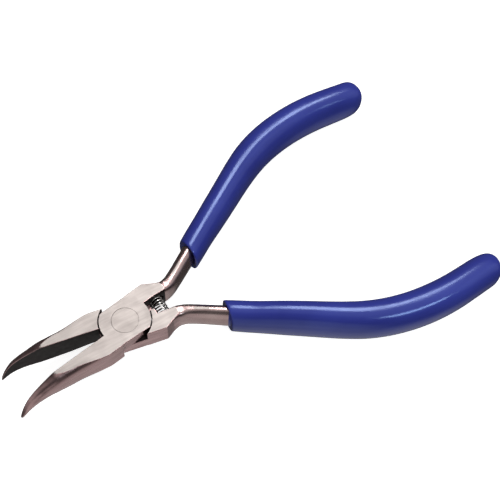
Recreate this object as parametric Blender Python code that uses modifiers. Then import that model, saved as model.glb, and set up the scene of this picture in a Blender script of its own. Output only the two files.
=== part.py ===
"""Bent-nose spring-return pliers: two forged halves in a lap joint, a flush rivet, a coil spring
between the throat faces and two dipped sleeves on the handles. The origin is the centre of the
rivet's top face, +X runs from the pivot to the handles and +Z is the pivot axis, upwards."""

import math

import bmesh
import bpy
from mathutils import Vector

for leftover in list(bpy.data.objects):
    bpy.data.objects.remove(leftover, do_unlink=True)

MM = 0.001

# Joint
JOINT_THICK = 6.2
HALF_THICK = JOINT_THICK / 2
LAP_RADIUS = 6.0
RECESS_RADIUS = 6.12
LAP_GAP = 0.03
JOINT_HALF_WIDTH = 5.0
LAP_TAPER = 0.1
OPEN_DEG = 9.7
RIVET_HEAD_RADIUS = 3.15
RIVET_SHANK_RADIUS = 2.2
RIVET_HEAD_DEPTH = 0.9
RIVET_RIM = 0.15
RIVET_GAP = 0.04

# The joint's ground faces: outlines in X and Z of what is taken off above and below
TOP_CUT = ((-26, HALF_THICK), (12.9, HALF_THICK), (12.9, 9), (-26, 9))
LOW_CUT = ((-8.5, -HALF_THICK), (-13.5, -3.75), (-18.0, -4.0), (-24.0, -4.1), (-26.6, -4.7),
           (-26.6, -9), (12.9, -9), (12.9, -HALF_THICK))
PAST_FACE = 0.6
PAST_SIDE = 40

# Jaws
JAW_GAP = 0.02
JAW_STEPS = 2
# Each row is a section of one jaw: its top and bottom corner on the gripping face (x, z), how far
# it bulges away from that face, and how square its outer side is.
JAW = (
    ((-3.0, 4.4), (-3.0, -4.4), 4.45, 12.0),
    ((-4.1, 4.4), (-4.1, -4.4), 4.60, 12.0),
    ((-6.5, 4.4), (-6.5, -4.4), 4.61, 12.0),
    ((-7.8, 4.4), (-7.8, -4.4), 4.56, 11.0),
    ((-9.2, 4.1), (-9.2, -4.4), 4.28, 7.5),
    ((-11.0, 3.85), (-11.0, -4.4), 3.90, 5.5),
    ((-12.7, 3.65), (-12.7, -4.4), 3.52, 4.6),
    ((-14.8, 3.50), (-14.8, -4.4), 3.10, 4.0),
    ((-16.9, 3.35), (-16.9, -4.35), 2.84, 3.6),
    ((-18.4, 3.20), (-18.4, -4.25), 2.66, 3.3),
    ((-20.0, 2.98), (-19.9, -4.12), 2.47, 3.0),
    ((-21.5, 2.40), (-21.0, -4.00), 2.26, 2.8),
    ((-23.05, 1.70), (-22.1, -3.90), 2.03, 2.6),
    ((-24.6, 0.92), (-23.3, -3.85), 1.87, 2.4),
    ((-25.95, 0.05), (-24.6, -3.90), 1.69, 2.25),
    ((-27.05, -0.90), (-25.7, -4.10), 1.51, 2.2),
    ((-27.97, -2.05), (-26.7, -4.45), 1.32, 2.1),
    ((-28.78, -3.38), (-27.7, -5.00), 1.13, 2.0),
    ((-29.42, -4.75), (-28.6, -5.70), 0.91, 2.0),
    ((-29.90, -5.92), (-29.4, -6.42), 0.66, 2.0),
    ((-30.08, -6.62), (-29.85, -6.80), 0.36, 2.0),
)

# Handles: centre x, centre y, turn of the section about Z in degrees, width, height, squareness
SHOULDER = (
    (3.0, 2.95, 0, 3.80, 8.4, 12.0),
    (3.9, 2.90, 0, 4.20, 8.4, 12.0),
    (8.4, 2.90, 0, 4.20, 8.4, 12.0),
    (9.1, 2.66, 0, 3.76, 7.9, 9.0),
    (10.3, 2.15, 0, 3.25, 7.2, 6.0),
    (11.4, 1.80, 0, 3.15, 6.70, 5.0),
    (12.3, 1.68, 5, 3.15, 6.35, 4.4),
    (13.1, 1.73, 11, 3.18, 6.25, 3.9),
    (14.2, 1.95, 17, 3.32, 6.40, 3.0),
    (15.6, 2.46, 21, 3.42, 6.55, 2.6),
    (17.3, 3.15, 24, 3.50, 6.70, 2.4),
    (20.1, 4.37, 24, 3.60, 6.90, 2.3),
)
CORE = (
    (23.0, 5.62, 24, 3.70, 7.00, 2.3),
    (28.0, 7.80, 22, 3.75, 7.10, 2.3),
    (35.3, 10.80, 23, 3.85, 7.50, 2.5),
    (43.6, 14.30, 22, 4.05, 7.70, 2.5),
    (52.3, 17.60, 16, 4.60, 7.60, 2.5),
    (61.4, 19.05, 3, 4.90, 7.40, 2.5),
    (70.5, 18.80, -6, 4.90, 7.40, 2.5),
    (77.0, 17.60, -13, 4.60, 7.00, 2.5),
    (80.4, 16.75, -14, 3.60, 5.80, 2.5),
    (81.6, 16.45, -14, 2.00, 3.60, 2.5),
)
GRIP = (
    (22.70, 5.50, 0, 6.30, 8.60, 2.3),
    (22.95, 5.61, 1, 6.70, 9.05, 2.3),
    (24.2, 6.15, 6, 6.60, 9.25, 2.3),
    (28.0, 7.80, 18, 6.40, 9.55, 2.3),
    (31.3, 9.15, 22, 6.50, 10.10, 2.3),
    (35.3, 10.80, 23, 6.75, 10.75, 2.3),
    (39.5, 12.55, 23, 6.95, 11.10, 2.3),
    (43.6, 14.30, 22, 7.20, 11.20, 2.3),
    (47.9, 16.05, 20, 7.55, 11.10, 2.3),
    (52.3, 17.55, 16, 7.90, 10.95, 2.3),
    (56.8, 18.55, 9, 8.10, 10.80, 2.3),
    (61.4, 19.05, 3, 8.22, 10.70, 2.3),
    (65.9, 19.10, -2, 8.28, 10.70, 2.3),
    (70.5, 18.75, -7, 8.24, 10.80, 2.3),
    (74.9, 18.05, -11, 8.15, 10.80, 2.3),
    (79.2, 17.05, -14, 8.00, 10.70, 2.3),
    (82.4, 16.25, -14, 7.90, 10.45, 2.3),
    (84.6, 15.80, -11, 7.65, 10.05, 2.35),
    (86.1, 15.60, -7, 7.05, 9.30, 2.4),
    (87.2, 15.50, -4, 5.90, 8.00, 2.3),
    (87.9, 15.45, -2, 4.20, 5.90, 2.2),
    (88.2, 15.42, 0, 2.00, 3.00, 2.0),
)
SLEEVE_GAP = 0.15
# How far the middle of a handle lies below that of the joint: by the first just behind the joint,
# and by the second more at its end.
DROP_FROM, DROP_TO, HANDLE_DROP = 10.0, 13.0, 0.20
HANDLE_END, END_DROP = 88.2, 0.60

# Each throat face, and the small horn of the half beside the lap disc
THROAT_Y = 0.80
HORN = ((5.0, -0.46), (7.03, -0.57), (7.26, -0.10), (7.55, 1.30), (5.6, 1.60))

# Spring
SPRING_X = 9.3
POCKET_RADIUS = 1.85
POCKET_DEPTH = 1.5
SPRING_RADIUS = 1.35
WIRE_RADIUS = 0.18
SPRING_TURNS = 10.5
SPRING_STEPS = 14
SPRING_END_GAP = 0.05
# How far a closed end turn advances, as a share of half the spring's length
SPRING_HALF_LENGTH = 3.6
END_TURN_RISE = 2.05 * WIRE_RADIUS / SPRING_HALF_LENGTH

# Materials: colour, metallic, roughness
STEEL = ((0.74, 0.70, 0.67), 1.0, 0.32)
RIVET_STEEL = ((0.76, 0.72, 0.69), 1.0, 0.28)
WIRE_STEEL = ((0.30, 0.28, 0.27), 1.0, 0.30)
VINYL = ((0.02, 0.025, 0.24), 0.0, 0.22)

# Facets, and the angles from which an edge is drawn sharp
AROUND = 20
JAW_AROUND = 12
LAP_STEPS = 96
RIVET_STEPS = 48
POCKET_STEPS = 28
STEEL_SHARP_DEG = 32
VINYL_SHARP_DEG = 40


def material(name, color, metallic, roughness):
    made = bpy.data.materials.new(name)
    made.use_nodes = True
    shader = made.node_tree.nodes["Principled BSDF"]
    shader.inputs["Base Color"].default_value = (*color, 1.0)
    shader.inputs["Metallic"].default_value = metallic
    shader.inputs["Roughness"].default_value = roughness
    return made


def collection(name):
    made = bpy.data.collections.new(name)
    bpy.context.scene.collection.children.link(made)
    return made


def empty(name, parts, parent=None, z=0.0, turn_deg=0.0):
    made = bpy.data.objects.new(name, None)
    made.location = (0, 0, z * MM)
    made.rotation_euler = (0, 0, math.radians(turn_deg))
    made.parent = parent
    parts.objects.link(made)
    return made


def mesh_object(name, points, faces, where):
    """An object whose points are in millimetres, with its faces turned outwards."""
    mesh = bpy.data.meshes.new(name)
    mesh.from_pydata([Vector(p) * MM for p in points], [], faces)
    work = bmesh.new()
    work.from_mesh(mesh)
    bmesh.ops.recalc_face_normals(work, faces=work.faces)
    work.to_mesh(mesh)
    work.free()
    made = bpy.data.objects.new(name, mesh)
    where.objects.link(made)
    return made


def loft(name, rings, where):
    """Closed body through rings of equal size, with a flat cap at each end."""
    size = len(rings[0])
    points = [p for ring in rings for p in ring]
    faces = [list(range(size)), [len(points) - 1 - i for i in range(size)]]
    for k in range(len(rings) - 1):
        for i in range(size):
            j = (i + 1) % size
            faces.append([k * size + i, k * size + j, (k + 1) * size + j, (k + 1) * size + i])
    return mesh_object(name, points, faces, where)


def rounded(values, steps):
    """Rows of numbers filled in along a smooth curve that passes through every given row."""
    filled = []
    for k in range(len(values) - 1):
        a, b, c, d = (values[min(max(k + i, 0), len(values) - 1)] for i in (-1, 0, 1, 2))
        for step in range(steps):
            t = step / steps
            filled.append(tuple(
                0.5 * (2 * q + (r - p) * t + (2 * p - 5 * q + 4 * r - s) * t**2
                       + (3 * q - p - 3 * r + s) * t**3)
                for p, q, r, s in zip(a, b, c, d)))
    return [*filled, values[-1]]


def power(value, exponent):
    return math.copysign(abs(value) ** exponent, value)


def drop(x):
    """How far the middle of a handle's section lies below that of the joint."""
    near = min(max((x - DROP_FROM) / (DROP_TO - DROP_FROM), 0), 1)
    far = max(x - DROP_TO, 0) / (HANDLE_END - DROP_TO)
    return HANDLE_DROP * near + END_DROP * far


def bar_ring(row, hand, grow=0.0):
    """One upright, rounded section of a handle. hand is 1 or -1, the side that the handle is on."""
    x, y, turn, width, height, square = row
    middle = -drop(x)
    turn = math.radians(turn)
    ring = []
    for i in range(AROUND):
        angle = math.tau * i / AROUND
        across = power(math.cos(angle), 2 / square) * (width / 2 + grow)
        up = power(math.sin(angle), 2 / square) * (height / 2 + grow)
        ring.append((x - across * math.sin(turn), hand * (y + across * math.cos(turn)), middle + up))
    return ring


def jaw_ring(row, hand):
    """One D-shaped section of a jaw: flat on the gripping face, rounded on the outer side."""
    top_x, top_z, low_x, low_z, bulge, square = row
    ring = []
    for i in range(JAW_AROUND + 1):
        angle = math.pi * i / JAW_AROUND
        out = power(math.sin(angle), 2 / square) * bulge
        along = (1 - power(math.cos(angle), 2 / square)) / 2
        ring.append((top_x + (low_x - top_x) * along, -hand * (JAW_GAP + out),
                     top_z + (low_z - top_z) * along))
    return ring


def extruded(name, outline, thickness, where):
    """A flat outline, in millimetres, filled and extruded along its own Z to both sides alike."""
    curve = bpy.data.curves.new(name, "CURVE")
    curve.dimensions = "2D"
    curve.fill_mode = "BOTH"
    curve.extrude = thickness / 2 * MM
    spline = curve.splines.new("POLY")
    spline.points.add(len(outline) - 1)
    for point, (x, y) in zip(spline.points, outline):
        point.co = (x * MM, y * MM, 0, 1)
    spline.use_cyclic_u = True
    shape = bpy.data.objects.new(f"{name}_outline", curve)
    where.objects.link(shape)
    mesh = bpy.data.meshes.new_from_object(shape.evaluated_get(bpy.context.evaluated_depsgraph_get()))
    bpy.data.objects.remove(shape, do_unlink=True)
    work = bmesh.new()
    work.from_mesh(mesh)
    bmesh.ops.remove_doubles(work, verts=work.verts, dist=0.001 * MM)
    bmesh.ops.recalc_face_normals(work, faces=work.faces)
    work.to_mesh(mesh)
    work.free()
    made = bpy.data.objects.new(name, mesh)
    where.objects.link(made)
    return made


def slab(name, outline, low, high, where):
    """An outline in X and Y, extruded from one height to another."""
    made = extruded(name, outline, high - low, where)
    made.location.z = (low + high) / 2 * MM
    return made


def profile_bar(name, outline, where):
    """An outline in X and Z, extruded sideways well past the joint."""
    made = extruded(name, outline, 2 * PAST_SIDE, where)
    made.rotation_euler.x = math.pi / 2
    return made


def drum(name, radius, length, steps, where):
    """A round solid about its own Z, centred."""
    mesh = bpy.data.meshes.new(name)
    work = bmesh.new()
    bmesh.ops.create_cone(work, cap_ends=True, segments=steps, radius1=radius * MM, radius2=radius * MM,
                          depth=length * MM)
    work.to_mesh(mesh)
    work.free()
    made = bpy.data.objects.new(name, mesh)
    where.objects.link(made)
    return made


def lap_outline(hand):
    """The lap disc, cut straight along the joint's two outer edges, the jaw's one at a slight taper."""
    outline = []
    for i in range(LAP_STEPS):
        angle = math.tau * (i + 0.5) / LAP_STEPS
        x, y = LAP_RADIUS * math.cos(angle), LAP_RADIUS * math.sin(angle)
        if -JOINT_HALF_WIDTH + max(0.0, -LAP_TAPER * x) <= y <= JOINT_HALF_WIDTH:
            outline.append((x, hand * y))
    return outline


def lathe(name, profile, steps, where):
    """A profile of (radius, z) from top to bottom, turned about Z."""
    mesh = bpy.data.meshes.new(name)
    edges = [(i, i + 1) for i in range(len(profile) - 1)]
    mesh.from_pydata([(r * MM, 0, z * MM) for r, z in profile], edges, [])
    made = bpy.data.objects.new(name, mesh)
    where.objects.link(made)
    screw = made.modifiers.new("Turn", "SCREW")
    screw.steps = screw.render_steps = steps
    screw.use_merge_vertices = True
    screw.merge_threshold = 0.00001
    return made


def combine(target, other, operation, cutters):
    """Adds a Boolean to target, and puts the other solid away with the helpers."""
    other.hide_render = True
    other.display_type = "WIRE"
    for held in list(other.users_collection):
        held.objects.unlink(other)
    cutters.objects.link(other)
    other.parent = target.parent
    modifier = target.modifiers.new(other.name, "BOOLEAN")
    modifier.operation = operation
    modifier.solver = "EXACT"
    modifier.object = other


def smooth(made, degrees):
    made.data.shade_smooth()
    made.data.set_sharp_from_angle(angle=math.radians(degrees))


def build_half(name, hand, layer, parent, parts, cutters, steel):
    """One forging. Its lap disc is the upper layer of the joint for layer 1, the lower for -1."""
    over = HALF_THICK + PAST_FACE
    half = slab(name, lap_outline(hand), -over, over, parts)
    half.parent = parent
    jaw_rows = rounded([(*top, *low, bulge, square) for top, low, bulge, square in JAW], JAW_STEPS)
    jaw = loft(f"{name}_jaw", [jaw_ring(row, hand) for row in jaw_rows], cutters)
    combine(half, jaw, "UNION", cutters)
    handle_rings = [bar_ring(row, hand) for row in (*SHOULDER, *CORE)]
    combine(half, loft(f"{name}_handle", handle_rings, cutters), "UNION", cutters)
    horn_levels = sorted((-layer * LAP_GAP, -layer * over))
    horn = slab(f"{name}_horn", [(x, hand * y) for x, y in HORN], *horn_levels, cutters)
    combine(half, horn, "UNION", cutters)

    combine(half, profile_bar(f"{name}_top_cut", TOP_CUT, cutters), "DIFFERENCE", cutters)
    combine(half, profile_bar(f"{name}_low_cut", LOW_CUT, cutters), "DIFFERENCE", cutters)
    recess = drum(f"{name}_recess", RECESS_RADIUS, JOINT_THICK, LAP_STEPS, cutters)
    recess.location.z = layer * (LAP_GAP - HALF_THICK) * MM
    combine(half, recess, "DIFFERENCE", cutters)
    hole = lathe(f"{name}_rivet_hole", rivet_profile(RIVET_GAP, PAST_FACE), RIVET_STEPS, cutters)
    combine(half, hole, "DIFFERENCE", cutters)
    combine(half, pocket_cutter(f"{name}_pocket", hand, cutters), "DIFFERENCE", cutters)
    half.data.materials.append(steel)
    smooth(half, STEEL_SHARP_DEG)


def pocket_cutter(name, hand, cutters):
    """A round blind hole from the throat face, for the end of the spring."""
    made = drum(name, POCKET_RADIUS, 2 * POCKET_DEPTH, POCKET_STEPS, cutters)
    made.rotation_euler.x = math.pi / 2
    made.location = (SPRING_X * MM, hand * THROAT_Y * MM, 0)
    return made


def rivet_profile(gap, extend):
    """Two countersunk heads on a shank. extend carries each head on past the joint's faces."""
    head, shank = RIVET_HEAD_RADIUS + gap, RIVET_SHANK_RADIUS + gap
    top = HALF_THICK + extend
    upper = [(0, top), (head, top), (head, HALF_THICK - RIVET_RIM),
             (shank, HALF_THICK - RIVET_HEAD_DEPTH)]
    return [*upper, *[(r, -z) for r, z in reversed(upper)]]


def build_rivet(parent, parts, steel):
    rivet = lathe("pivot_rivet", rivet_profile(0.0, 0.0), RIVET_STEPS, parts)
    rivet.parent = parent
    rivet.data.materials.append(steel)
    smooth(rivet, STEEL_SHARP_DEG)


def build_grip(name, hand, parent, parts, cutters, vinyl):
    """A dipped sleeve, open at its mouth and hollow round the handle's steel core."""
    grip = loft(name, [bar_ring(row, hand) for row in GRIP], parts)
    grip.parent = parent
    end_x, end_y, *end_rest = CORE[-1]
    past_end = (end_x + SLEEVE_GAP, end_y, *end_rest)
    bore = [bar_ring(row, hand, SLEEVE_GAP) for row in (*SHOULDER[-1:], *CORE[:-1], past_end)]
    combine(grip, loft(f"{name}_bore", bore, cutters), "DIFFERENCE", cutters)
    grip.data.materials.append(vinyl)
    smooth(grip, VINYL_SHARP_DEG)


def spring_centre(along):
    """Point and across direction on the spring's bowed centre line, for along from -1 to 1."""
    tilt = math.radians(OPEN_DEG)
    end_y = THROAT_Y + POCKET_DEPTH - WIRE_RADIUS - SPRING_END_GAP
    end = Vector((SPRING_X * math.cos(tilt) - end_y * math.sin(tilt),
                  SPRING_X * math.sin(tilt) + end_y * math.cos(tilt), 0))
    radius = end.y / math.sin(tilt)
    angle = along * tilt
    centre_x = end.x - radius * math.cos(tilt)
    out = Vector((math.cos(angle), math.sin(angle), 0))
    return Vector((centre_x, 0, 0)) + out * radius, out


def build_spring(parent, parts, wire_steel):
    """A coil on the bowed line between the two pockets, with closed turns at both ends."""
    curve = bpy.data.curves.new("spring_wire", "CURVE")
    curve.dimensions = "3D"
    curve.bevel_depth = WIRE_RADIUS * MM
    curve.bevel_resolution = 2
    curve.use_fill_caps = True
    count = round(SPRING_TURNS * SPRING_STEPS)
    spline = curve.splines.new("POLY")
    spline.points.add(count)
    closed = 1.0 / SPRING_TURNS
    for i in range(count + 1):
        turn = i / count
        if turn < closed:
            along = -1 + END_TURN_RISE * turn / closed
        elif turn > 1 - closed:
            along = 1 - END_TURN_RISE * (1 - turn) / closed
        else:
            along = (1 - END_TURN_RISE) * (2 * (turn - closed) / (1 - 2 * closed) - 1)
        centre, out = spring_centre(along)
        angle = math.tau * SPRING_TURNS * turn
        point = centre + SPRING_RADIUS * (math.cos(angle) * out + math.sin(angle) * Vector((0, 0, 1)))
        spline.points[i].co = (*(point * MM), 1)
    spring = bpy.data.objects.new("return_spring", curve)
    parts.objects.link(spring)
    spring.parent = parent
    curve.materials.append(wire_steel)


def main():
    parts = collection("bent_nose_pliers")
    cutters = collection("cutters")
    steel_front = material("ground_steel_front", *STEEL)
    steel_rear = material("ground_steel_rear", *STEEL)
    rivet_steel = material("rivet_steel", *RIVET_STEEL)
    wire_steel = material("spring_wire_steel", *WIRE_STEEL)
    vinyl_front = material("dipped_vinyl_front", *VINYL)
    vinyl_rear = material("dipped_vinyl_rear", *VINYL)

    middle = empty("joint_middle", parts, z=-HALF_THICK)
    rear = empty("rear_side", parts, middle, turn_deg=-OPEN_DEG)
    front = empty("front_side", parts, middle, turn_deg=OPEN_DEG)
    build_half("rear_half", -1, -1, rear, parts, cutters, steel_rear)
    build_half("front_half", 1, 1, front, parts, cutters, steel_front)
    build_rivet(rear, parts, rivet_steel)
    build_spring(middle, parts, wire_steel)
    build_grip("rear_grip", -1, rear, parts, cutters, vinyl_rear)
    build_grip("front_grip", 1, front, parts, cutters, vinyl_front)


main()
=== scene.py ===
"""Looks for the bent-nose spring-return pliers: finely lofted steel halves with eased edges, a flush
rivet, a coil spring that follows both halves, and smooth dipped sleeves, in a small photo studio."""

import math

import bmesh
import bpy
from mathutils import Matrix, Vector


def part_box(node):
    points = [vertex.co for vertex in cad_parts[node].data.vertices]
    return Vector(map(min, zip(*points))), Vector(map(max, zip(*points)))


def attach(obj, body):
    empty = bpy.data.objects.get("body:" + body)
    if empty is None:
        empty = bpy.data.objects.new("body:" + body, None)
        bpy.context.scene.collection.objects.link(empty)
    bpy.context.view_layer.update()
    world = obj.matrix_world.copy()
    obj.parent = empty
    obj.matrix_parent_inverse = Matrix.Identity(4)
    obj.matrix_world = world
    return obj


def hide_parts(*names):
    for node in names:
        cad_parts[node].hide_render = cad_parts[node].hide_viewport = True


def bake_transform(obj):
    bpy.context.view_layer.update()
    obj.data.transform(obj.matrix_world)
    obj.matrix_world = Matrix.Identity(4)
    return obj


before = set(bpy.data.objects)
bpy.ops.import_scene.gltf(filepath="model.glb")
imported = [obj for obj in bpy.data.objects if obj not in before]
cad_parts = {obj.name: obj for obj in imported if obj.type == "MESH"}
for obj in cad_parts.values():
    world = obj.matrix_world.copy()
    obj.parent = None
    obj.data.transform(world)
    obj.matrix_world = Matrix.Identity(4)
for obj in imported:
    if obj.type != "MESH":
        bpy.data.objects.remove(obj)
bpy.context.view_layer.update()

MM = 0.001

# The joint: places are in millimetres round the pivot, with Z counted from the joint's mid-plane
TOP_Z, LOW_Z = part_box("pivot_rivet")[1].z / MM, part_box("pivot_rivet")[0].z / MM
MIDDLE_Z = (TOP_Z + LOW_Z) / 2
HALF_THICK = (TOP_Z - LOW_Z) / 2
RIVET_RADIUS = (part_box("pivot_rivet")[1].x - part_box("pivot_rivet")[0].x) / 2 / MM
LAP_RADIUS = 6.0
RECESS_RADIUS = 6.12
LAP_GAP = 0.03
# How much the lap disc's outer edge draws in for each millimetre towards the jaws
LAP_TAPER = 0.1
JOINT_HALF_WIDTH = 5.0
# Each half's turn from the middle plane at rest
OPEN_DEG = 9.7
JAW_GAP = 0.02
# How wide a sharp edge is rounded, and from what angle between its two faces
EDGE_EASE = 0.10
EASE_FROM_DEG = 35
# Points closer than this are one point
WELD = 0.01 * MM

# Sections of one jaw: top and bottom corner on the gripping face (x, z), bulge, squareness
JAW = (
    ((-3.0, 4.4), (-3.0, -4.4), 4.45, 12.0),
    ((-4.1, 4.4), (-4.1, -4.4), 4.60, 12.0),
    ((-6.5, 4.4), (-6.5, -4.4), 4.61, 12.0),
    ((-7.8, 4.4), (-7.8, -4.4), 4.56, 11.0),
    ((-9.2, 4.1), (-9.2, -4.4), 4.28, 7.5),
    ((-11.0, 3.85), (-11.0, -4.4), 3.90, 5.5),
    ((-12.7, 3.65), (-12.7, -4.4), 3.52, 4.6),
    ((-14.8, 3.50), (-14.8, -4.4), 3.10, 4.0),
    ((-16.9, 3.35), (-16.9, -4.35), 2.84, 3.6),
    ((-18.4, 3.20), (-18.4, -4.25), 2.66, 3.3),
    ((-20.0, 2.98), (-19.9, -4.12), 2.47, 3.0),
    ((-21.5, 2.40), (-21.0, -4.00), 2.26, 2.8),
    ((-23.05, 1.70), (-22.1, -3.90), 2.03, 2.6),
    ((-24.6, 0.92), (-23.3, -3.85), 1.87, 2.4),
    ((-25.95, 0.05), (-24.6, -3.90), 1.69, 2.25),
    ((-27.05, -0.90), (-25.7, -4.10), 1.51, 2.2),
    ((-27.97, -2.05), (-26.7, -4.45), 1.32, 2.1),
    ((-28.78, -3.38), (-27.7, -5.00), 1.13, 2.0),
    ((-29.42, -4.75), (-28.6, -5.70), 0.91, 2.0),
    ((-29.90, -5.92), (-29.4, -6.42), 0.66, 2.0),
    ((-30.08, -6.62), (-29.85, -6.80), 0.36, 2.0),
)

# Sections of a handle: centre x, centre y, turn about Z in degrees, width, height, squareness
SHOULDER = (
    (3.0, 2.95, 0, 3.80, 8.4, 12.0),
    (3.9, 2.90, 0, 4.20, 8.4, 12.0),
    (8.4, 2.90, 0, 4.20, 8.4, 12.0),
    (9.1, 2.66, 0, 3.76, 7.9, 9.0),
    (10.3, 2.15, 0, 3.25, 7.2, 6.0),
)
TANG = (
    (10.3, 2.15, 0, 3.25, 7.2, 6.0),
    (11.4, 1.80, 0, 3.15, 6.70, 5.0),
    (12.3, 1.68, 5, 3.15, 6.35, 4.4),
    (13.1, 1.73, 11, 3.18, 6.25, 3.9),
    (14.2, 1.95, 17, 3.32, 6.40, 3.0),
    (15.6, 2.46, 21, 3.42, 6.55, 2.6),
    (17.3, 3.15, 24, 3.50, 6.70, 2.4),
    (20.1, 4.37, 24, 3.60, 6.90, 2.3),
    (23.0, 5.62, 24, 3.70, 7.00, 2.3),
    (28.0, 7.80, 22, 3.75, 7.10, 2.3),
    (31.0, 9.05, 22, 3.80, 7.25, 2.3),
)
GRIP = (
    (22.70, 5.50, 0, 6.30, 8.60, 2.3),
    (22.95, 5.61, 1, 6.70, 9.05, 2.3),
    (24.2, 6.15, 6, 6.60, 9.25, 2.3),
    (28.0, 7.80, 18, 6.40, 9.55, 2.3),
    (31.3, 9.15, 22, 6.50, 10.10, 2.3),
    (35.3, 10.80, 23, 6.75, 10.75, 2.3),
    (39.5, 12.55, 23, 6.95, 11.10, 2.3),
    (43.6, 14.30, 22, 7.20, 11.20, 2.3),
    (47.9, 16.05, 20, 7.55, 11.10, 2.3),
    (52.3, 17.55, 16, 7.90, 10.95, 2.3),
    (56.8, 18.55, 9, 8.10, 10.80, 2.3),
    (61.4, 19.05, 3, 8.22, 10.70, 2.3),
    (65.9, 19.10, -2, 8.28, 10.70, 2.3),
    (70.5, 18.75, -7, 8.24, 10.80, 2.3),
    (74.9, 18.05, -11, 8.15, 10.80, 2.3),
    (79.2, 17.05, -14, 8.00, 10.70, 2.3),
    (82.4, 16.25, -14, 7.90, 10.45, 2.3),
    (84.6, 15.80, -11, 7.65, 10.05, 2.35),
    (86.1, 15.60, -7, 7.05, 9.30, 2.4),
    (87.2, 15.50, -4, 5.90, 8.00, 2.3),
    (87.9, 15.45, -2, 4.20, 5.90, 2.2),
    (88.2, 15.42, 0, 2.00, 3.00, 2.0),
)
# How far the handle drops behind the joint, and by how much more at its end
DROP_FROM, DROP_TO, HANDLE_DROP = 10.0, 13.0, 0.20
HANDLE_END, END_DROP = 88.2, 0.60
THROAT_Y = 0.80
HORN = ((5.0, -0.46), (7.03, -0.57), (7.26, -0.10), (7.55, 1.30), (5.6, 1.60))

# What grinding takes off above and below the joint: outlines in X and Z, out to clear of the forging
CLEAR_Z = 9
CLEAR_SIDE = 40
CLEAR_FACE = 0.6
GROUND_TO_X = 12.9
GROUND_ABOVE = ((-26, HALF_THICK), (GROUND_TO_X, HALF_THICK), (GROUND_TO_X, CLEAR_Z), (-26, CLEAR_Z))
GROUND_BELOW = (
    (-8.5, -HALF_THICK), (-13.5, -3.75), (-18.0, -4.0), (-24.0, -4.1), (-26.6, -4.7),
    (-26.6, -CLEAR_Z), (GROUND_TO_X, -CLEAR_Z), (GROUND_TO_X, -HALF_THICK),
)

# The sleeve's mouth, rolled in on to the tang: three rings, each with its place along and across from the
# sleeve's first section, and its extra width and height. The first is on the sleeve, the others on the tang
MOUTH = (
    (-0.02, 0.0, -0.50, -0.45),
    (0.06, 0.0, 0.75, 0.60),
    (0.35, 0.1, 0.35, 0.20),
)
# Where the sleeve's inside starts behind the mouth, and how far it stands off the tang
LINING_FROM = 0.2
LINING_GAP = 0.06

# The rivet: play in its hole, and its rim as steps in from the edge and down from the face
RIVET_PLAY = 0.01
RIVET_INSET = 0.015
RIVET_RIM = ((-0.09, 0.0), (-0.03, -0.015), (0.0, -0.06), (0.0, -0.9))

# The spring
SPRING_X = 9.3
POCKET_RADIUS = 1.85
POCKET_DEPTH = 1.5
SPRING_RADIUS = 1.35
WIRE_RADIUS = 0.18
SPRING_TURNS = 10.5
SPRING_STEPS = 40
SPRING_END_GAP = 0.05
# Half the spring's length at rest, and the pitch of its closed end turns in wire radii
SPRING_HALF_LENGTH = 3.5
CLOSED_PITCH = 2.05

# Points round a handle, half round a jaw and round each circle, and rows filled in between two sections
AROUND = 56
JAW_AROUND = 32
LAP_STEPS = 180
HOLE_STEPS = 96
POCKET_STEPS = 48
RIVET_STEPS = 128
SMOOTH_STEPS = 5

# Which finish a face of a half takes: the order of the steels, then limits of how it faces and where it is
FLAT, WALL, DARK_AND_SHADE, POLISHED = range(4)
FLAT_UP = 0.985
GRIPPING_INWARD = 0.99
GRIPPING_BEFORE_X = -5.4
THROAT_OUTWARD = -0.7
THROAT_FROM_X, THROAT_TO_X = 5.0, 11.5
POLISHED_FROM_X = 11.2
HIDDEN_HEIGHT = 1
HIDDEN_PAST = 0.1
ON_FACE = 0.05
POCKET_REACH = 2.2
RADIAL = 0.95

# Dark and light tones of each finish
FLAT_TONES = ((0.500, 0.450, 0.430), (0.635, 0.583, 0.557))
RIVET_TONES = ((0.483, 0.434, 0.413), (0.620, 0.567, 0.541))
WALL_TONES = ((0.40, 0.260, 0.260), (0.60, 0.400, 0.400))
POLISHED_TONES = ((0.44, 0.310, 0.305), (0.57, 0.430, 0.416))
# The dark tones are near black on the gripping faces, and painted shade in the throat, the pocket, on the
# lap's walls and the joint's hidden faces
DARK_AND_SHADE_TONES = ((0.011, 0.007, 0.007), (0.022, 0.014, 0.014))
# The wire's dark tone is painted shade for the coil's lower side; its light tone is the bare wire
WIRE_PAINTED_SHADE_TONES = ((0.05, 0.045, 0.043), (0.88, 0.84, 0.82))
VINYL_TONES = ((0.032, 0.041, 0.300), (0.046, 0.060, 0.385))
VINYL_SHEEN = (0.50, 0.64, 1.0, 1.0)
FLOOR_TONES = ((0.74, 0.74, 0.74), (0.78, 0.78, 0.78))

# Heights on the spring, from the mid-plane, between which the painted shade on its wire goes from dark to
# bright
WIRE_PAINTED_SHADE_Z, WIRE_BRIGHT_Z = -0.2, 0.7

# The camera's place, turn in degrees, lens and sensor, and how near and far it sees in metres
CAMERA_AT = Vector((-32.01, -95.20, 204.85)) * MM
CAMERA_TURN = (29.686, -1.848, -31.040)
CAMERA_LENS = 72.0
CAMERA_SENSOR = 36.0
CAMERA_NEAR, CAMERA_FAR = 0.01, 10.0

# The floor: half its size in metres, its glow, its gap under the tips, and where along the sleeves it
# comes up to them
FLOOR_HALF = 1.6
FLOOR_GLOW = 0.86
FLOOR_GAP = 0.02
FLOOR_TOUCH = 0.9

# Area lights: name, the way to it, width and height in metres, power in watts, colour
LIGHTS = (
    ("key_strip", (0.34, 0.33, 0.88), (0.20, 0.20), 1.25, (1.0, 0.98, 0.97)),
    ("front_strip", (0.24, -0.72, 0.65), (0.22, 0.10), 0.70, (0.80, 0.94, 1.0)),
)
LIGHT_DISTANCE = 0.55
LIT_POINT = Vector((25, 0, -3)) * MM

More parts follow.
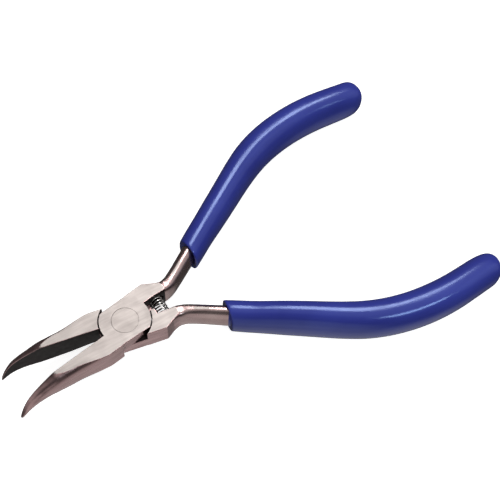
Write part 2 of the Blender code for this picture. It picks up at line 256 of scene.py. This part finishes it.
# Soft glows of the studio: the way to each one, and brightness by the cosine of the angle from it
GLOWS = (
    ((0.28, -0.02, 0.96), ((0.0, 0.06), (0.72, 0.07), (0.88, 0.42), (1.0, 0.62))),
    ((0.79, -0.42, 0.45), ((0.0, 0.0), (0.86, 0.0), (0.94, 0.34), (1.0, 0.40))),
    ((-0.88, -0.16, 0.22), ((0.0, 0.0), (0.72, 0.0), (0.90, 0.28), (1.0, 0.36))),
    ((-0.53, -0.79, -0.31), ((0.0, 0.0), (0.88, 0.0), (0.955, 0.40), (1.0, 0.48))),
    ((-0.08, -0.42, -0.90), ((0.0, 0.0), (0.78, 0.0), (0.91, 0.33), (1.0, 0.43))),
)
GLOW_TINT = (1.0, 0.985, 0.97)
SKY_STRENGTH = 1.15


# ---------- nodes and materials ----------

def set_stops(ramp, stops):
    """Gives a colour ramp its stops of (position, colour)."""
    elements = ramp.color_ramp.elements
    while len(elements) < len(stops):
        elements.new(0.5)
    for element, (position, color) in zip(elements, stops):
        element.position = position
        element.color = (*color, 1.0)


class Nodes:
    """A short way to add and join shader nodes of one material."""

    def __init__(self, name):
        self.material = bpy.data.materials.new(name)
        self.material.use_nodes = True
        self.tree = self.material.node_tree
        self.shader = self.tree.nodes["Principled BSDF"]
        self.place = self.add("ShaderNodeTexCoord").outputs["Object"]

    def add(self, kind):
        return self.tree.nodes.new(kind)

    def join(self, source, target):
        self.tree.links.new(source, target)

    def noise(self, scale, stretch=(1, 1, 1), detail=3.0, rough=0.5):
        """A noise value over the object's own coordinates, in metres, stretched along its axes."""
        mapping = self.add("ShaderNodeMapping")
        mapping.inputs["Scale"].default_value = stretch
        self.join(self.place, mapping.inputs["Vector"])
        noise = self.add("ShaderNodeTexNoise")
        noise.inputs["Scale"].default_value = scale
        noise.inputs["Detail"].default_value = detail
        noise.inputs["Roughness"].default_value = rough
        self.join(mapping.outputs["Vector"], noise.inputs["Vector"])
        return noise.outputs["Fac"]

    def shade(self, value, tones, low=0.3, high=0.7):
        """The dark and the light tone, for values from low to high."""
        ramp = self.add("ShaderNodeValToRGB")
        set_stops(ramp, tuple(zip((low, high), tones)))
        self.join(value, ramp.inputs["Fac"])
        return ramp.outputs["Color"]

    def spread(self, value, low, high):
        """The value's middle range mapped to low..high."""
        node = self.add("ShaderNodeMapRange")
        node.inputs["From Min"].default_value = 0.3
        node.inputs["From Max"].default_value = 0.7
        node.inputs["To Min"].default_value = low
        node.inputs["To Max"].default_value = high
        self.join(value, node.inputs["Value"])
        return node.outputs["Result"]

    def bump(self, value, strength, distance, under=None):
        """Relief of the value, distance metres high, on top of any relief given as under."""
        node = self.add("ShaderNodeBump")
        node.inputs["Strength"].default_value = strength
        node.inputs["Distance"].default_value = distance
        self.join(value, node.inputs["Height"])
        if under:
            self.join(under, node.inputs["Normal"])
        return node.outputs["Normal"]

    def set(self, **values):
        """Sets shader inputs by name, with _ for a space."""
        for key, value in values.items():
            self.shader.inputs[key.replace("_", " ")].default_value = value

    def feed(self, socket, source):
        self.join(source, self.shader.inputs[socket])


def ground_steel(name, tones, low_rough, high_rough, grain):
    """Surface-ground steel: fine straight scratches along the tool, with a soft cloudy tone."""
    n = Nodes(name)
    scratches = n.noise(4200, (0.05, 1.0, 1.0), 4.0, 0.6)
    lines = n.noise(1300, (0.05, 1.0, 1.0), 4.0, 0.6)
    cloud = n.noise(260, (1, 1, 1), 3.0)
    streaks = n.noise(900, (0.10, 1, 1), 4.0, 0.65)
    n.feed("Base Color", n.shade(streaks, tones, 0.32, 0.68))
    n.feed("Roughness", n.spread(cloud, low_rough, high_rough))
    n.feed("Normal", n.bump(scratches, grain, 0.00001, n.bump(lines, grain, 0.00002)))
    n.set(Metallic=1.0)
    return n.material


def polished_steel(name):
    """Tumbled, polished forging: glossy but softly uneven, browner than the ground faces."""
    n = Nodes(name)
    ripple = n.noise(220, (0.5, 1, 1), 2.0)
    fine = n.noise(2600, (0.3, 1, 1), 3.0)
    n.feed("Base Color", n.shade(n.noise(300, (0.4, 1, 1), 3.0), POLISHED_TONES))
    n.feed("Roughness", n.spread(n.noise(700, (0.3, 1, 1)), 0.23, 0.31))
    n.feed("Normal", n.bump(fine, 0.06, 0.00002, n.bump(ripple, 0.12, 0.0002)))
    n.set(Metallic=1.0)
    return n.material


def dark_and_shade_steel(name):
    """Near-black steel for the machined gripping faces, and painted shade on the throat, the spring's
    pocket, the lap's walls and the joint's hidden faces.
    """
    n = Nodes(name)
    lines = n.noise(1500, (1.0, 1.0, 0.05), 3.0)
    n.feed("Base Color", n.shade(n.noise(500, (0.3, 1, 1)), DARK_AND_SHADE_TONES))
    n.feed("Roughness", n.spread(n.noise(800), 0.42, 0.55))
    n.feed("Normal", n.bump(lines, 0.10, 0.00002))
    n.set(Specular_IOR_Level=0.16)
    return n.material


def wire_steel_with_painted_shade():
    """Bright drawn wire, with painted shade on the coil's lower side, darker towards the bottom."""
    n = Nodes("spring_wire_painted_shade_look")
    height = n.add("ShaderNodeSeparateXYZ")
    n.join(n.place, height.inputs[0])
    painted_shade_level = n.add("ShaderNodeMapRange")
    painted_shade_level.inputs["From Min"].default_value = (MIDDLE_Z + WIRE_PAINTED_SHADE_Z) * MM
    painted_shade_level.inputs["From Max"].default_value = (MIDDLE_Z + WIRE_BRIGHT_Z) * MM
    n.join(height.outputs["Z"], painted_shade_level.inputs["Value"])
    n.feed("Base Color", n.shade(painted_shade_level.outputs["Result"], WIRE_PAINTED_SHADE_TONES, 0.0, 1.0))
    n.feed("Roughness", n.spread(n.noise(2500), 0.14, 0.24))
    n.feed("Normal", n.bump(n.noise(5000), 0.05, 0.00001))
    n.set(Metallic=1.0)
    return n.material


def dipped_vinyl():
    """Glossy plastisol: deep blue with slow flow waves and a faint orange peel."""
    n = Nodes("dipped_vinyl_look")
    flow = n.noise(70, (0.45, 1, 1), 2.0)
    peel = n.noise(900, (1, 1, 1), 2.0)
    n.feed("Base Color", n.shade(n.noise(110, (0.5, 1, 1), 3.0), VINYL_TONES))
    n.feed("Roughness", n.spread(n.noise(260), 0.15, 0.24))
    n.feed("Normal", n.bump(peel, 0.05, 0.00003, n.bump(flow, 0.10, 0.0003)))
    n.set(Specular_Tint=VINYL_SHEEN, Specular_IOR_Level=0.72)
    return n.material


# ---------- shapes ----------

def linked(name, data):
    """A new object in the scene."""
    made = bpy.data.objects.new(name, data)
    bpy.context.scene.collection.objects.link(made)
    return made


def mesh_of(name, points, faces):
    """A mesh from points in millimetres, with its faces turned outwards."""
    mesh = bpy.data.meshes.new(name)
    mesh.from_pydata([Vector(p) * MM for p in points], [], faces)
    work = bmesh.new()
    work.from_mesh(mesh)
    bmesh.ops.recalc_face_normals(work, faces=work.faces)
    work.to_mesh(mesh)
    work.free()
    return mesh


def loft(name, rings):
    """Closed body through rings of equal size, with a flat cap at each end."""
    size = len(rings[0])
    points = [p for ring in rings for p in ring]
    faces = [list(range(size)), [len(points) - 1 - i for i in range(size)]]
    for k in range(len(rings) - 1):
        for i in range(size):
            j = (i + 1) % size
            faces.append([k * size + i, k * size + j, (k + 1) * size + j, (k + 1) * size + i])
    return linked(name, mesh_of(name, points, faces))


def rounded(values, steps):
    """Rows of numbers filled in along a smooth curve that passes through every given row."""
    filled = []
    for k in range(len(values) - 1):
        a, b, c, d = (values[min(max(k + i, 0), len(values) - 1)] for i in (-1, 0, 1, 2))
        for step in range(steps):
            t = step / steps
            filled.append(tuple(
                0.5 * (2 * q + (r - p) * t + (2 * p - 5 * q + 4 * r - s) * t**2
                       + (3 * q - p - 3 * r + s) * t**3)
                for p, q, r, s in zip(a, b, c, d)))
    return [*filled, values[-1]]


def power(value, exponent):
    """The power of a number's size, with the number's sign."""
    return math.copysign(abs(value) ** exponent, value)


def placed(x, y, z, hand):
    """A point of one half, from its closed place to where it is at rest. hand 1 is the front half."""
    turn = math.radians(OPEN_DEG) * hand
    y = hand * y
    rest_x = x * math.cos(turn) - y * math.sin(turn)
    rest_y = x * math.sin(turn) + y * math.cos(turn)
    return (rest_x, rest_y, z + MIDDLE_Z)


def drop(x):
    """How far the middle of a handle's section lies below the joint's mid-plane."""
    near = min(max((x - DROP_FROM) / (DROP_TO - DROP_FROM), 0), 1)
    far = max(x - DROP_TO, 0) / (HANDLE_END - DROP_TO)
    return HANDLE_DROP * near + END_DROP * far


def bar_ring(row, hand, grow=0.0):
    """One upright, rounded section of a handle."""
    x, y, turn, width, height, square = row
    turn = math.radians(turn)
    middle = -drop(x)
    ring = []
    for i in range(AROUND):
        angle = math.tau * i / AROUND
        across = power(math.cos(angle), 2 / square) * (width / 2 + grow)
        up = power(math.sin(angle), 2 / square) * (height / 2 + grow)
        ring.append(placed(x - across * math.sin(turn), y + across * math.cos(turn), middle + up, hand))
    return ring


def jaw_ring(row, hand):
    """One D-shaped section of a jaw: flat on the gripping face, rounded on the outer side."""
    top_x, top_z, low_x, low_z, bulge, square = row
    ring = []
    for i in range(JAW_AROUND + 1):
        angle = math.pi * i / JAW_AROUND
        out = power(math.sin(angle), 2 / square) * bulge
        along = (1 - power(math.cos(angle), 2 / square)) / 2
        ring.append(placed(top_x + (low_x - top_x) * along, -JAW_GAP - out,
                           top_z + (low_z - top_z) * along, hand))
    return ring


def slab(name, outline, low, high, hand):
    """An outline in X and Y, extruded from low to high."""
    return loft(name, [[placed(x, y, z, hand) for x, y in outline] for z in (low, high)])


def profile_bar(name, outline, hand):
    """An outline in X and Z, extruded sideways well past the joint."""
    return loft(name, [[placed(x, y, z, hand) for x, z in outline] for y in (-CLEAR_SIDE, CLEAR_SIDE)])


def lap_outline():
    """The lap disc, cut straight along the joint's two outer edges."""
    outline = []
    for i in range(LAP_STEPS):
        angle = math.tau * (i + 0.5) / LAP_STEPS
        x, y = LAP_RADIUS * math.cos(angle), LAP_RADIUS * math.sin(angle)
        if -JOINT_HALF_WIDTH + max(0.0, -LAP_TAPER * x) <= y <= JOINT_HALF_WIDTH:
            outline.append((x, y))
    return outline


def circle(radius, steps):
    """Points round a circle about the origin."""
    angles = [math.tau * i / steps for i in range(steps)]
    return [(radius * math.cos(angle), radius * math.sin(angle)) for angle in angles]


def cut_or_join(target, *others):
    """Runs exact Booleans, in turn, with (operation, object) pairs, and keeps only the result."""
    for operation, other in others:
        modifier = target.modifiers.new(other.name, "BOOLEAN")
        modifier.operation = operation
        modifier.solver = "EXACT"
        modifier.object = other
    graph = bpy.context.evaluated_depsgraph_get()
    made = bpy.data.meshes.new_from_object(target.evaluated_get(graph))
    target.modifiers.clear()
    target.data = made
    for _, other in others:
        bpy.data.objects.remove(other, do_unlink=True)


def ease_edges(target):
    """Cleans a Boolean's result and rounds its sharp edges a little, apart from the rivet's hole."""
    work = bmesh.new()
    work.from_mesh(target.data)
    bmesh.ops.remove_doubles(work, verts=work.verts, dist=WELD)
    bmesh.ops.dissolve_degenerate(work, edges=work.edges, dist=WELD / 2)
    sharp = [e for e in work.edges
             if len(e.link_faces) == 2 and e.calc_face_angle(0) > math.radians(EASE_FROM_DEG)
             and e.verts[0].co.xy.length > (RIVET_RADIUS + 2 * EDGE_EASE) * MM]
    bmesh.ops.bevel(work, geom=sharp, offset=EDGE_EASE * MM, offset_type="OFFSET", segments=2,
                    profile=0.5, affect="EDGES", clamp_overlap=False, harden_normals=False)
    work.to_mesh(target.data)
    work.free()


def steel_half(name, hand):
    """One forging. The front half, hand 1, has the joint's upper layer, and the rear half the lower."""
    over = HALF_THICK + CLEAR_FACE
    half = slab(name, lap_outline(), -over, over, hand)
    jaw_rows = rounded([(*top, *low, bulge, square) for top, low, bulge, square in JAW], SMOOTH_STEPS)
    jaw = loft("jaw", [jaw_ring(row, hand) for row in jaw_rows])
    handle_rows = [*SHOULDER[:-1], *rounded(TANG, SMOOTH_STEPS)]
    handle = loft("handle", [bar_ring(row, hand) for row in handle_rows])
    horn = slab("horn", HORN, *sorted((-hand * LAP_GAP, -hand * over)), hand)
    recess = slab("recess", circle(RECESS_RADIUS, LAP_STEPS),
                  *sorted((hand * LAP_GAP, -hand * CLEAR_Z)), hand)
    hole = slab("hole", circle(RIVET_RADIUS + RIVET_PLAY, HOLE_STEPS), -CLEAR_Z, CLEAR_Z, hand)
    pocket_ring = circle(POCKET_RADIUS, POCKET_STEPS)
    pocket = loft("pocket", [[placed(SPRING_X + x, y, z, hand) for x, z in pocket_ring]
                             for y in (THROAT_Y - POCKET_DEPTH, THROAT_Y + POCKET_DEPTH)])
    cut_or_join(
        half, ("UNION", jaw), ("UNION", handle), ("UNION", horn),
        ("DIFFERENCE", profile_bar("above", GROUND_ABOVE, hand)),
        ("DIFFERENCE", profile_bar("below", GROUND_BELOW, hand)),
        ("DIFFERENCE", recess), ("DIFFERENCE", hole), ("DIFFERENCE", pocket))
    return half


def dipped_sleeve(name, hand):
    """A sleeve with a rounded mouth, turned in on to the tang and running on inside along it."""
    rows = rounded(GRIP, SMOOTH_STEPS)
    inside = [row for row in rounded(TANG, SMOOTH_STEPS) if row[0] > GRIP[0][0] + LINING_FROM]
    x, y, turn, width, height, square = GRIP[0]
    _, _, tang_turn, tang_width, tang_height, tang_square = inside[0]
    sections = ((turn, width, height, square),
                (turn, tang_width, tang_height, square),
                (tang_turn / 2, tang_width, tang_height, tang_square))
    mouth = [(x + along, y + across, section_turn, wide + more_width, high + more_height, squareness)
             for (along, across, more_width, more_height), (section_turn, wide, high, squareness)
             in zip(MOUTH, sections)]
    rings = [bar_ring(row, hand, LINING_GAP) for row in reversed(inside)]
    rings += [bar_ring(row, hand) for row in reversed(mouth)]
    rings += [bar_ring(row, hand) for row in rows]
    return loft(name, rings)


def flush_rivet():
    """The rivet, with a hairline step between its peened heads and the joint."""
    edge = RIVET_RADIUS - RIVET_INSET
    profile = ((0, 0), *((edge + out, down) for out, down in RIVET_RIM))
    points = [(r, HALF_THICK + z) for r, z in profile]
    points += [(r, -z) for r, z in reversed(points)]
    mesh = bpy.data.meshes.new("flush_rivet")
    mesh.from_pydata([(r * MM, 0, (z + MIDDLE_Z) * MM) for r, z in points],
                     [(i, i + 1) for i in range(len(points) - 1)], [])
    outline = linked("rivet_outline", mesh)
    screw = outline.modifiers.new("Turn", "SCREW")
    screw.steps = screw.render_steps = RIVET_STEPS
    screw.use_merge_vertices = True
    screw.merge_threshold = WELD
    graph = bpy.context.evaluated_depsgraph_get()
    turned = bpy.data.meshes.new_from_object(outline.evaluated_get(graph))
    bpy.data.objects.remove(outline, do_unlink=True)
    return linked("flush_rivet", turned)


def spring_centre(along):
    """Point and outward direction on the spring's bowed centre line, for along from -1 to 1."""
    tilt = math.radians(OPEN_DEG)
    end_y = THROAT_Y + POCKET_DEPTH - WIRE_RADIUS - SPRING_END_GAP
    end = Vector(placed(SPRING_X, end_y, 0, 1))
    radius = end.y / math.sin(tilt)
    out = Vector((math.cos(along * tilt), math.sin(along * tilt), 0))
    return Vector((end.x - radius * math.cos(tilt), 0, MIDDLE_Z)) + out * radius, out


def coil_spring():
    """A coil on the bowed line between the two pockets, with closed turns at both ends."""
    curve = bpy.data.curves.new("coil_spring", "CURVE")
    curve.dimensions = "3D"
    curve.bevel_depth = WIRE_RADIUS * MM
    curve.bevel_resolution = 4
    curve.use_fill_caps = True
    count = round(SPRING_TURNS * SPRING_STEPS)
    spline = curve.splines.new("POLY")
    spline.points.add(count)
    closed = 1.0 / SPRING_TURNS
    pitch_closed = CLOSED_PITCH * WIRE_RADIUS / SPRING_HALF_LENGTH
    for i in range(count + 1):
        turn = i / count
        if turn < closed:
            along = -1 + pitch_closed * turn / closed
        elif turn > 1 - closed:
            along = 1 - pitch_closed * (1 - turn) / closed
        else:
            along = (1 - pitch_closed) * (2 * (turn - closed) / (1 - 2 * closed) - 1)
        centre, out = spring_centre(along)
        angle = math.tau * SPRING_TURNS * turn
        point = centre + SPRING_RADIUS * (math.cos(angle) * out + math.sin(angle) * Vector((0, 0, 1)))
        spline.points[i].co = (*(point * MM), 1)
    made = linked("coil_spring_curve", curve)
    graph = bpy.context.evaluated_depsgraph_get()
    mesh = bpy.data.meshes.new_from_object(made.evaluated_get(graph))
    bpy.data.objects.remove(made, do_unlink=True)
    return linked("coil_spring", mesh)


def smooth(made, degrees, weighted=False):
    """Smooth shading, broken at edges sharper than the angle."""
    made.data.shade_smooth()
    made.data.set_sharp_from_angle(angle=math.radians(degrees))
    if weighted:
        flatten = made.modifiers.new("Flat faces stay flat", "WEIGHTED_NORMAL")
        flatten.keep_sharp = True
        flatten.weight = 100


def paint_half(half, hand, steels):
    """Gives each face of a half its finish by where it is and how it faces."""
    half.data.materials.clear()
    for steel in steels:
        half.data.materials.append(steel)
    turn = math.radians(OPEN_DEG) * hand
    inward = Vector((-math.sin(turn), math.cos(turn), 0)) * hand
    for face in half.data.polygons:
        flat = abs(face.normal.z) > FLAT_UP
        inner = face.normal.dot(inward)
        gripping = inner > GRIPPING_INWARD and face.center.x < GRIPPING_BEFORE_X * MM
        throat = inner < THROAT_OUTWARD and THROAT_FROM_X * MM < face.center.x < THROAT_TO_X * MM
        in_joint = Vector(face.center[:2]).length < (RECESS_RADIUS + HIDDEN_PAST) * MM
        height = face.center.z / MM - MIDDLE_Z
        hidden = flat and in_joint and abs(height) < HIDDEN_HEIGHT
        # The dark finish: near black on the gripping faces, painted shade in the throat, the spring's
        # pocket, on the lap's walls and the hidden faces
        if gripping or throat or hidden or in_pocket(face, hand) or on_lap_wall(face):
            face.material_index = DARK_AND_SHADE
        elif flat and abs(abs(height) - HALF_THICK) < ON_FACE:
            face.material_index = FLAT
        elif face.center.x > POLISHED_FROM_X * MM:
            face.material_index = POLISHED
        else:
            face.material_index = WALL


def on_lap_wall(face):
    """Whether a face stands on the lap's circle and looks to or from the pivot, in the gap between the
    halves, where painted shade goes.
    """
    place, facing = Vector(face.center[:2]), Vector(face.normal[:2])
    in_gap = (LAP_RADIUS - EDGE_EASE) * MM < place.length < (RECESS_RADIUS + EDGE_EASE) * MM
    return in_gap and abs(place.dot(facing)) > RADIAL * place.length * facing.length


def in_pocket(face, hand):
    """Whether a face is in or at the mouth of the spring's pocket."""
    centre = Vector(placed(SPRING_X, THROAT_Y + POCKET_DEPTH / 2, 0, hand)) * MM
    return (face.center - centre).length < POCKET_REACH * MM


# ---------- studio ----------

def studio():
    """A pale floor that the tips and the sleeves lie on, and the area lights."""
    floor_mesh = bpy.data.meshes.new("floor")
    corners = [(x * FLOOR_HALF, y * FLOOR_HALF, 0) for x, y in ((-1, -1), (1, -1), (1, 1), (-1, 1))]
    floor_mesh.from_pydata(corners, [], [(0, 1, 2, 3)])
    floor = linked("floor", floor_mesh)
    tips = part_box("front_half")[0]
    grip_low, grip_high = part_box("front_grip")
    rise, run = grip_low.z - tips.z, FLOOR_TOUCH * grip_high.x - tips.x
    floor.location = (tips.x, 0, tips.z - FLOOR_GAP * MM)
    floor.rotation_euler = (0, -math.atan2(rise, run), 0)
    n = Nodes("pale_floor")
    n.feed("Base Color", n.shade(n.noise(6, (1, 1, 1), 4.0), FLOOR_TONES))
    n.set(Roughness=0.75, Emission_Strength=FLOOR_GLOW, Emission_Color=(1, 1, 1, 1))
    floor_mesh.materials.append(n.material)
    floor.visible_glossy = floor.visible_diffuse = False
    for name, toward, size, power_w, color in LIGHTS:
        area_light(name, toward, size, power_w, color)


def sky():
    """A dark studio with a few soft glows, added up."""
    world = bpy.data.worlds.new("studio")
    world.use_nodes = True
    nodes, links = world.node_tree.nodes, world.node_tree.links
    place = nodes.new("ShaderNodeTexCoord")
    total = None
    for direction, stops in GLOWS:
        nearness = nodes.new("ShaderNodeVectorMath")
        nearness.operation = "DOT_PRODUCT"
        nearness.inputs[1].default_value = Vector(direction).normalized()
        links.new(place.outputs["Generated"], nearness.inputs[0])
        ramp = nodes.new("ShaderNodeValToRGB")
        set_stops(ramp, [(position, [tint * painted_shade_level for tint in GLOW_TINT]) for position, painted_shade_level in stops])
        links.new(nearness.outputs["Value"], ramp.inputs["Fac"])
        if total is None:
            total = ramp.outputs["Color"]
            continue
        both = nodes.new("ShaderNodeVectorMath")
        links.new(total, both.inputs[0])
        links.new(ramp.outputs["Color"], both.inputs[1])
        total = both.outputs["Vector"]
    links.new(total, nodes["Background"].inputs["Color"])
    nodes["Background"].inputs["Strength"].default_value = SKY_STRENGTH
    bpy.context.scene.world = world


def area_light(name, toward, size, power_w, color):
    """A rectangular light that faces the middle of the tool."""
    light = bpy.data.lights.new(name, "AREA")
    light.shape = "RECTANGLE"
    light.size, light.size_y = size
    light.energy = power_w
    light.color = color
    made = linked(name, light)
    direction = Vector(toward).normalized()
    made.location = LIT_POINT + direction * LIGHT_DISTANCE
    made.rotation_euler = direction.to_track_quat("Z", "Y").to_euler()


def camera():
    """The camera, which looks down on the joint from the near side."""
    lens = bpy.data.cameras.new("camera")
    lens.lens = CAMERA_LENS
    lens.sensor_width = CAMERA_SENSOR
    lens.clip_start, lens.clip_end = CAMERA_NEAR, CAMERA_FAR
    made = linked("camera", lens)
    made.location = CAMERA_AT
    made.rotation_euler = [math.radians(a) for a in CAMERA_TURN]
    bpy.context.scene.camera = made


def main():
    """The studio and the six pieces: the halves, the sleeves and the rivet each on its body, the spring
    baked in place.
    """
    bpy.context.scene.view_settings.view_transform = "Standard"
    camera()
    studio()
    sky()
    steels = (ground_steel("ground_flats", FLAT_TONES, 0.48, 0.60, 0.45),
              ground_steel("side_walls", WALL_TONES, 0.20, 0.32, 0.30),
              dark_and_shade_steel("gripping_faces_and_painted_shade"), polished_steel("polished_tangs"))
    vinyl = dipped_vinyl()
    for name, hand, body, node in (("front_forging", 1, "front_side", "front_half"),
                                   ("rear_forging", -1, "rear_side", "rear_half")):
        half = steel_half(name, hand)
        ease_edges(half)
        paint_half(half, hand, steels)
        smooth(half, 30, weighted=True)
        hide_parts(node)
        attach(half, body)
    for name, hand, body, node in (("front_sleeve", 1, "front_side", "front_grip"),
                                   ("rear_sleeve", -1, "rear_side", "rear_grip")):
        sleeve = dipped_sleeve(name, hand)
        sleeve.data.materials.append(vinyl)
        smooth(sleeve, 60)
        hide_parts(node)
        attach(sleeve, body)
    rivet = flush_rivet()
    rivet.data.materials.append(ground_steel("rivet_face", RIVET_TONES, 0.48, 0.60, 0.45))
    smooth(rivet, 10)
    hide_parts("pivot_rivet")
    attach(rivet, "rear_side")
    spring = coil_spring()
    spring.data.materials.append(wire_steel_with_painted_shade())
    smooth(spring, 60)
    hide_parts("return_spring")
    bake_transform(spring)


main()
